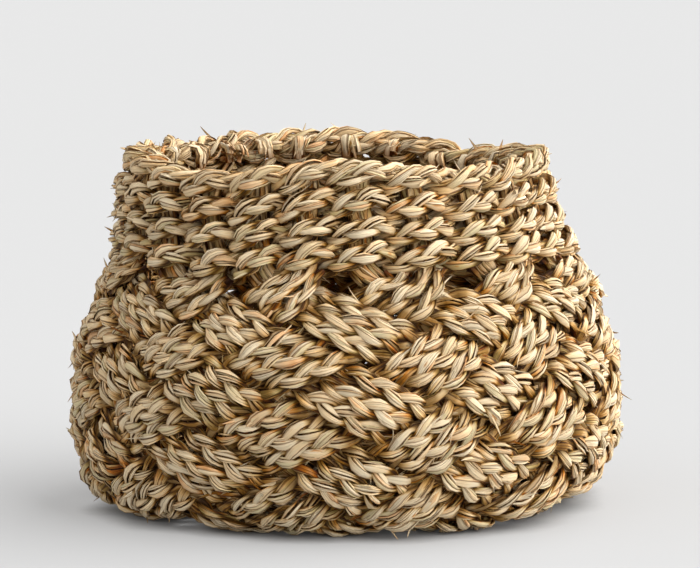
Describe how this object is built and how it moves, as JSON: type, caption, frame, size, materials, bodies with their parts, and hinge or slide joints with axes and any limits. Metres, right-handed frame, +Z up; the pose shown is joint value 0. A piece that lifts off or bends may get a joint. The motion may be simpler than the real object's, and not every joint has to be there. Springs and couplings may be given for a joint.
{
  "type": "seagrass basket",
  "caption": "Squat round basket with a bias-plaited belly of braided seagrass and an upright twined collar round an open mouth.",
  "frame": {"origin": "middle of the basket's box at the floor, which is under the middle of the belly", "axes": "+Z up through the open mouth, -Y towards the front, +X to the right seen from the front"},
  "size_m": [0.3551, 0.355, 0.2276],
  "materials": {
    "band_braid": "dried seagrass, plaited in three strands, dull with satin blade edges",
    "collar_braid": "dried seagrass, plaited in three strands, paler and a little glossier"
  },
  "bodies": {
    "root": {"front_near_band_inner_braid": "band_braid", "front_near_band_middle_braid": "band_braid", "front_near_band_outer_braid": "band_braid", "front_half_band_inner_braid": "band_braid", "front_half_band_middle_braid": "band_braid", "front_half_band_outer_braid": "band_braid", "front_far_band_inner_braid": "band_braid", "front_far_band_middle_braid": "band_braid", "front_far_band_outer_braid": "band_braid", "right_near_band_inner_braid": "band_braid", "right_near_band_middle_braid": "band_braid", "right_near_band_outer_braid": "band_braid", "right_half_band_inner_braid": "band_braid", "right_half_band_middle_braid": "band_braid", "right_half_band_outer_braid": "band_braid", "right_far_band_inner_braid": "band_braid", "right_far_band_middle_braid": "band_braid", "right_far_band_outer_braid": "band_braid", "back_near_band_inner_braid": "band_braid", "back_near_band_middle_braid": "band_braid", "back_near_band_outer_braid": "band_braid", "back_half_band_inner_braid": "band_braid", "back_half_band_middle_braid": "band_braid", "back_half_band_outer_braid": "band_braid", "back_far_band_inner_braid": "band_braid", "back_far_band_middle_braid": "band_braid", "back_far_band_outer_braid": "band_braid", "left_near_band_inner_braid": "band_braid", "left_near_band_middle_braid": "band_braid", "left_near_band_outer_braid": "band_braid", "left_half_band_inner_braid": "band_braid", "left_half_band_middle_braid": "band_braid", "left_half_band_outer_braid": "band_braid", "left_far_band_inner_braid": "band_braid", "left_far_band_middle_braid": "band_braid", "left_far_band_outer_braid": "band_braid", "collar_row_1_braid_a": "collar_braid", "collar_row_1_braid_b": "collar_braid", "collar_row_2_braid_a": "collar_braid", "collar_row_2_braid_b": "collar_braid", "collar_row_3_braid_a": "collar_braid", "collar_row_3_braid_b": "collar_braid", "collar_row_4_braid_a": "collar_braid", "collar_row_4_braid_b": "collar_braid"}
  },
  "joints": []
}
